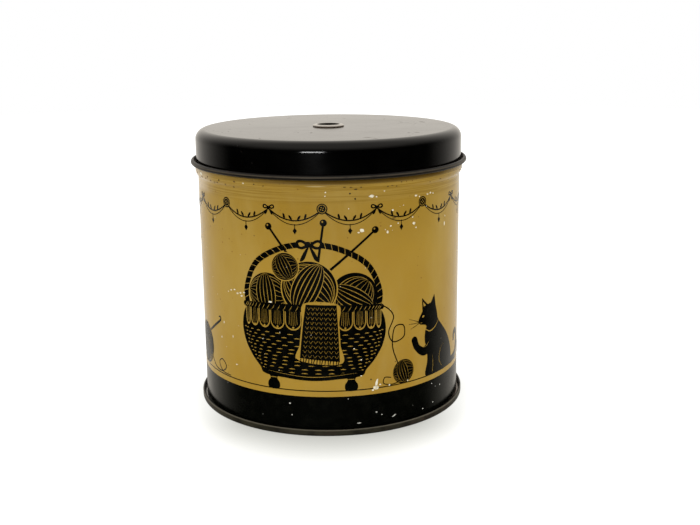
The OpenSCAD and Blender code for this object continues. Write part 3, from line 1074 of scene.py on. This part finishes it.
SWAGS = 16
SWAG_Z = 101.2
SWAG_DIP = 4.8
LOOSE_DIP = 6.6
BORDER_MARGIN = 4.0
GROUND_Z = 20.3
GROUND_HALF = 0.22
GROUND_GAP = 0.03

# Arcs where one motif's piece ends and the next begins
PINCUSHION_LEFT = -142.0
SKEIN_LEFT = -98.0
BASKET_LEFT = -60.0
CAT_LEFT = 22.0
SPOOL_LEFT = 84.0
SCISSORS_LEFT = 138.0

# Where each motif stands: arc and height, then its scale and its turn in degrees
BASKET_AT = (-9.0, 0.0)
CAT_AT = (57.5, 20.1, 1.06)
SPOOL_AT = (112.0, 20.4, 1.25)
SCISSORS_AT = (164.0, 52.0, 1.05, 24)
THIMBLE_AT = (-166.0, 20.6, 1.35)
PINCUSHION_AT = (-122.0, 20.8, 1.15)
SKEIN_AT = (-78.0, 30.6, 0.92)
# Each loose button: arc, height, radius and turn
SPOOL_BUTTONS = ((94.6, 24.4, 4.0), (87.4, 23.4, 3.0))
THIMBLE_BUTTONS = ((-148.0, 24.6, 3.6), (-184.0, 25.6, 4.6, 50))


def border():
    """Swags of thread that hang from buttons and bows all round the can."""
    art = Drawing()
    start = SEAM_LEFT + BORDER_MARGIN
    pitch = (SEAM_RIGHT - BORDER_MARGIN - start) / SWAGS
    for k in range(SWAGS):
        left = start + k * pitch
        mid = left + pitch / 2
        for dip, width in ((SWAG_DIP, 0.55), (LOOSE_DIP, 0.32)):
            shares = np.linspace(0, 1, 13)
            art.ink(stroke([(left + pitch * t, SWAG_Z - dip * 4 * t * (1 - t)) for t in shares], width))
        # A drop on its thread
        art.ink(line([(mid, SWAG_Z - 6.4), (mid, SWAG_Z - 8.2)], 0.32))
        side_z = SWAG_Z - 9.2
        art.ink([(mid, SWAG_Z - 7.9), (mid + 0.95, side_z), (mid, SWAG_Z - 10.7), (mid - 0.95, side_z)])
        # Leaves
        for side in (-1, 1):
            for t, tilt in ((0.30, 34), (0.42, 16)):
                z = SWAG_Z - SWAG_DIP * 4 * t * (1 - t)
                art.ink(oval(mid + side * pitch * (0.5 - t), z + 1.15, 1.25, 0.48, side * (tilt + 40)))
    for k in range(SWAGS + 1):
        u = start + k * pitch
        art.add(bow(u, SWAG_Z + 0.6, 0.42) if k % 2 else button(u, SWAG_Z + 0.4, 2.3, 15 + 30 * k))
    return art.shapes


def rectangle(left, right, low, high):
    return [(True, [(left, low), (right, low), (right, high), (left, high)])]


def ground(left, right):
    """The line that the motifs stand on, from one arc to another."""
    return rectangle(left + GROUND_GAP, right - GROUND_GAP, GROUND_Z - GROUND_HALF, GROUND_Z + GROUND_HALF)


def buttons(places):
    return [shape for place in places for shape in button(*place)]


def build_print():
    black = ink_finish()
    for name, shapes in (
        ("band", rectangle(SEAM_LEFT, SEAM_RIGHT, BAND_FOOT, BAND_TOP)),
        ("basket", ground(BASKET_LEFT, CAT_LEFT) + moved(basket(), *BASKET_AT)),
        ("cat", ground(CAT_LEFT, SPOOL_LEFT) + thread_line() + moved(cat(), *CAT_AT)),
        ("border", border()),
        ("spool", ground(SPOOL_LEFT, SCISSORS_LEFT) + moved(spool(), *SPOOL_AT) + buttons(SPOOL_BUTTONS)),
        ("scissors", ground(SCISSORS_LEFT, SEAM_RIGHT) + moved(scissors(), *SCISSORS_AT)),
        (
            "thimble",
            ground(SEAM_LEFT, PINCUSHION_LEFT) + moved(thimble(), *THIMBLE_AT) + buttons(THIMBLE_BUTTONS),
        ),
        ("pincushion", ground(PINCUSHION_LEFT, SKEIN_LEFT) + moved(pincushion(), *PINCUSHION_AT)),
        ("skein", ground(SKEIN_LEFT, BASKET_LEFT) + moved(skein(), *SKEIN_AT)),
    ):
        shell("print_" + name, shapes, black)


# Wear, in millimetres. Each chip: its arc and height, then its own width, height and perhaps tilt in degrees

WALL_CHIPS = (
    (18.1, 106.4, 2.4, 1.3), (20.2, 106.0, 0.9, 0.6), (23.9, 108.2, 0.7, 0.6), (27.9, 99.6, 0.9, 0.9),
    (-1.7, 108.6, 0.8, 0.6), (-1.9, 107.0, 0.7, 0.6), (40.1, 104.6, 1.5, 0.7), (42.2, 104.0, 0.6, 0.5),
    (47.2, 104.4, 1.1, 0.9), (49.2, 104.7, 0.9, 0.7), (51.0, 104.3, 0.6, 0.5), (13.6, 92.0, 2.1, 1.6),
    (12.2, 91.0, 1.0, 0.6), (39.0, 92.6, 1.4, 1.0), (40.2, 90.6, 0.9, 0.6), (38.3, 95.4, 0.6, 0.6),
    (26.9, 92.8, 1.0, 0.6), (25.4, 90.2, 1.1, 1.5), (24.3, 91.4, 0.5, 0.6), (30.6, 93.6, 0.6, 0.5),
    (60.8, 89.2, 0.7, 2.0), (61.2, 92.6, 0.5, 0.8), (-38.5, 111.3, 0.9, 0.6), (-71.6, 111.7, 3.8, 1.3),
    (-49.6, 62.0, 1.0, 0.5), (-47.2, 62.6, 1.2, 0.5), (-45.4, 61.2, 1.4, 0.8), (-43.4, 61.7, 1.3, 0.7),
    (-41.2, 62.2, 1.2, 0.6), (-42.8, 60.4, 1.2, 0.8), (-51.6, 61.0, 0.6, 0.4), (19.6, 20.4, 2.7, 1.9),
    (20.0, 22.6, 1.1, 3.2, -18), (18.2, 19.6, 1.0, 0.9), (21.6, 21.7, 0.9, 0.6), (26.2, 20.8, 0.9, 0.7),
    (35.8, 21.1, 0.8, 0.7), (-47.5, 27.4, 1.3, 0.4), (-56.0, 45.5, 0.5, 1.2), (-49.5, 40.2, 0.4, 1.1),
    (-58.5, 38.0, 0.4, 1.0), (46.5, 99.2, 0.4, 0.4), (33.2, 101.2, 0.5, 0.4), (8.0, 101.5, 0.4, 0.5),
)
INK_CHIPS = (
    (-27.2, 59.8, 1.7, 0.8), (9.8, 39.5, 0.7, 0.5), (12.9, 34.2, 0.6, 0.6), (12.9, 26.8, 0.7, 0.5),
    (-19.1, 14.0, 0.8, 0.6), (-18.2, 8.6, 0.5, 0.6), (28.6, 5.9, 2.1, 0.6, 32), (11.7, 4.7, 1.8, 0.45),
    (19.8, 9.0, 0.6, 0.6), (22.4, 7.4, 0.6, 0.4), (45.1, 5.2, 0.9, 0.5), (52.4, 6.3, 0.7, 0.5),
    (51.4, 15.6, 0.6, 0.5), (58.2, 13.2, 0.6, 0.5), (-31.5, 42.6, 0.7, 0.4),
)
DARK_SPECKS = (
    (8.9, 110.7, 0.9, 0.3), (11.0, 109.8, 1.0, 0.4), (6.2, 110.9, 0.9, 0.25), (8.6, 107.9, 0.7, 0.5),
    (10.8, 105.6, 0.6, 0.6), (13.2, 110.6, 0.6, 0.3), (25.0, 110.2, 0.8, 0.3), (27.0, 110.4, 0.7, 0.25),
    (29.2, 110.0, 0.5, 0.3), (31.4, 111.6, 0.7, 0.3), (-71.0, 110.4, 0.9, 0.5), (-66.3, 110.3, 0.8, 0.4),
    (-61.5, 109.9, 0.9, 0.4), (-58.2, 109.6, 0.9, 0.4), (-55.8, 109.8, 0.7, 0.4), (-53.9, 111.0, 0.7, 0.5),
    (-43.6, 111.5, 0.9, 0.5), (-45.0, 108.9, 0.7, 0.4), (-33.0, 111.2, 0.6, 0.3), (-28.5, 110.8, 0.5, 0.3),
    (28.4, 96.1, 1.3, 0.35), (-63.8, 111.3, 0.6, 0.4), (-50.0, 109.6, 0.6, 0.3), (48.0, 109.8, 0.5, 0.3),
    (55.0, 110.3, 0.7, 0.3),
)
WEAR_SEED = 41
CHIP_GROWTH = (1.15, 1.15)
SPECK_GROWTH = (1.4, 1.7)

# Arcs of the can that wear is scattered over
BEHIND = ((75, 186), (-186, -75))
FRONT = ((-72, 72),)
FRONT_BAND = ((-60, 60),)
ALL_ROUND = ((-186, 186),)

# Scattered wear: how many, lowest and highest place, smallest and largest size, and the arcs
SMALL_CHIPS = (
    (90, 19, 106, 0.3, 1.7, BEHIND), (26, 4, 17, 0.3, 1.2, BEHIND), (24, 20, 106, 0.2, 0.4, FRONT),
    (6, 4, 17, 0.2, 0.4, FRONT_BAND),
)
BEAD_SPECKS = (70, 109.2, 111.4, 0.3, 1.0, BEHIND)
WALL_SPECKS = (16, 24, 106, 0.25, 0.7, ALL_ROUND)

# The bead's heights, in millimetres, and the turn in radians at which its outline is found
BEAD_HEIGHTS = np.arange(100.0, 113.4, 0.1)
PROBE_TURN = 0.31


def ragged(rng, growth, u, z, wide, tall, tilt=0):
    """The outline of one chip, grown and with an uneven edge, tilted by some degrees."""
    c, s = math.cos(math.radians(tilt)), math.sin(math.radians(tilt))
    wide, tall = wide * growth[0], tall * growth[1]
    count = rng.randint(7, 11)
    turn = rng.uniform(0, 2 * math.pi)
    made = []
    for k in range(count):
        a = turn + 2 * math.pi * (k + rng.uniform(-0.3, 0.3)) / count
        r = rng.uniform(0.62, 1.12)
        across, along = wide / 2 * r * math.cos(a), tall / 2 * r * math.sin(a)
        made.append((u + across * c - along * s, z + across * s + along * c))
    return made


def scattered(rng, count, low, high, small, large, spans):
    """Small chips on the parts of the can that the given spans of arc cover."""
    made = []
    for _ in range(count):
        left, right = rng.choice(spans)
        size = small + (large - small) * rng.random() ** 3
        u, z = rng.uniform(left, right), rng.uniform(low, high)
        made.append((u, z, size * rng.uniform(0.8, 1.5), size * rng.uniform(0.6, 1.1)))
    return made


def wall_radius():
    """The wall's outer radius in millimetres as a function of height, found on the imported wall."""
    tree = BVHTree.FromObject(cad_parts["can_wall"], bpy.context.evaluated_depsgraph_get())
    heading = Vector((math.sin(PROBE_TURN), -math.cos(PROBE_TURN), 0.0))
    radii = []
    for z in BEAD_HEIGHTS:
        hit = tree.ray_cast(heading * 0.1 + Vector((0, 0, z * MM)), -heading)[0]
        radii.append(math.hypot(hit.x, hit.y) / MM)
    return lambda zs: np.where(zs < BEAD_HEIGHTS[0], WALL_R, np.interp(zs, BEAD_HEIGHTS, radii))


def build_wear():
    rng = random.Random(WEAR_SEED)
    chips = list(WALL_CHIPS) + list(INK_CHIPS)
    for kind in SMALL_CHIPS:
        chips += scattered(rng, *kind)
    on_wall = wall_radius()
    outlines = [(True, ragged(rng, CHIP_GROWTH, *chip)) for chip in chips]
    shell("bare_chips", outlines, chip_tin(), CHIP_LIFT, on_wall)
    dark = list(DARK_SPECKS)
    dark += [(u, z, w, h * 0.6) for u, z, w, h in scattered(rng, *BEAD_SPECKS)]
    dark += scattered(rng, *WALL_SPECKS)
    outlines = [(True, ragged(rng, SPECK_GROWTH, *speck)) for speck in dark]
    shell("dark_specks", outlines, speck_rust(), SPECK_LIFT, on_wall)


# Stage

AMBIENT = 0.79
SIDE_SHARE = 0.48
GLOSS_BACK = 0.93
GLOSS_ABOVE = 0.5
GLOSS_FALL = 1.4
GLOSS_TINT = (1.0, 0.94, 0.85)
WHITE = (1.0, 1.0, 1.0)
FLOOR_R = 1.6
FLOOR_DROP = 0.00002
FLOOR_UNSEEN = (0.8, 0.8, 0.77)
FLOOR_SEEN = (0.25, 0.25, 0.24)
SHADOW_TINT = (0.98, 0.98, 0.86)
SHADOW_R = 0.064
SHADOW_REACH = (0.012, 0.05)
SHADOW_DEPTH = (0.75, 0.36)
BOUNCE_R = (0.14, 0.066)
# Each light: its name, place, target and size in metres, power in watts, and whether gloss shows it
LIGHTS = (
    ("overhead", (0.0, 0.1, 1.3), (0, 0, 0.06), (1.7, 1.3), 15.0, False),
    ("glint", (-0.265, -1.15, 0.112), (0, 0, 0.12), (0.36, 0.028), 0.85, True),
)


def seen(shader, path):
    """1 for rays that reach the picture straight from the eye."""
    return shader.largest(path["Is Camera Ray"], path["Is Transmission Ray"])


def build_world():
    world = bpy.data.worlds.new("studio")
    world.cycles.sampling_method = "NONE"
    scene.world = world
    s = Shader(world)
    path = s.node("LightPath").outputs
    across, behind, above = s.split(s.node("TexCoord").outputs["Generated"])
    # Glossy surfaces see the white backdrop behind the tin, a softer ceiling and a dark room in front of it
    backdrop = s.times(s.maths("POWER", s.maths("MAXIMUM", behind, 0.0), GLOSS_FALL), GLOSS_BACK)
    mirrored_room = s.plus(backdrop, s.between(above, 0.15, 0.85, 0.002, GLOSS_ABOVE))
    sides = s.plus(1.0, s.times(across, across, SIDE_SHARE))
    soft = s.times(s.maths("SUBTRACT", 1.0, path["Is Glossy Ray"]), AMBIENT, sides)
    level = s.largest(s.plus(soft, s.times(mirrored_room, path["Is Glossy Ray"])), seen(s, path))
    warm = s.blend(path["Is Glossy Ray"], WHITE, GLOSS_TINT)
    s.node("OutputWorld", {0: s.node("Background", {0: warm, 1: level}).outputs[0]})


def floor_paint():
    """White to the eye, with a soft contact shadow that reaches further in front of the tin."""
    material = bpy.data.materials.new("floor_white")
    s = Shader(material)
    path = s.node("LightPath").outputs
    place = s.node("TexCoord").outputs["Object"]
    away = s.length(place)
    ahead = s.maths("DIVIDE", s.times(s.split(place)[1], -1.0), away)
    front = s.maths("POWER", s.maths("MAXIMUM", ahead, 0.0), 2.0)
    reach = s.between(front, 0, 1, *SHADOW_REACH, "LINEAR")
    past = s.maths("DIVIDE", s.maths("SUBTRACT", away, SHADOW_R), reach)
    shown = seen(s, path)
    white = s.between(past, -0.1, 1.0, s.between(front, 0.0, 0.7, *SHADOW_DEPTH), 1.0)
    bounce = s.times(s.maths("SUBTRACT", 1.0, shown), s.between(away, *BOUNCE_R, 0.0, 0.35))
    paint = s.node("BsdfDiffuse", {"Color": s.blend(shown, FLOOR_UNSEEN, FLOOR_SEEN)})
    tint = s.blend(white, SHADOW_TINT, WHITE)
    glow = s.node("Emission", {0: tint, 1: s.plus(s.times(shown, white), bounce)})
    bright = s.node("AddShader", {0: paint.outputs[0], 1: glow.outputs[0]})
    s.node("OutputMaterial", {0: bright.outputs[0]})
    return material


def build_floor():
    place = (0, 0, -FLOOR_DROP)
    bpy.ops.mesh.primitive_circle_add(vertices=96, radius=FLOOR_R, fill_type="NGON", location=place)
    floor = bpy.context.object
    floor.name = "floor"
    floor.data.materials.append(floor_paint())
    floor.visible_glossy = False


def area_light(name, place, target, size, power, glossy):
    data = bpy.data.lights.new(name, "AREA")
    data.shape = "RECTANGLE"
    data.size, data.size_y = size
    data.energy = power
    made = bpy.data.objects.new(name, data)
    made.location = place
    made.rotation_euler = (Vector(target) - Vector(place)).to_track_quat("-Z", "Y").to_euler()
    made.visible_glossy = glossy
    scene.collection.objects.link(made)


build_camera()
build_world()
build_floor()
for light in LIGHTS:
    area_light(*light)
for node_name, finish_of in (
    ("can_wall", ochre_enamel), ("base", seam_metal), ("lid", black_lacquer), ("eyelet", eyelet_lacquer),
):
    looks = finish_of()
    for slot_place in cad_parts[node_name].material_slots:
        slot_place.material = looks
build_print()
build_wear()

scene.view_settings.view_transform = "Standard"
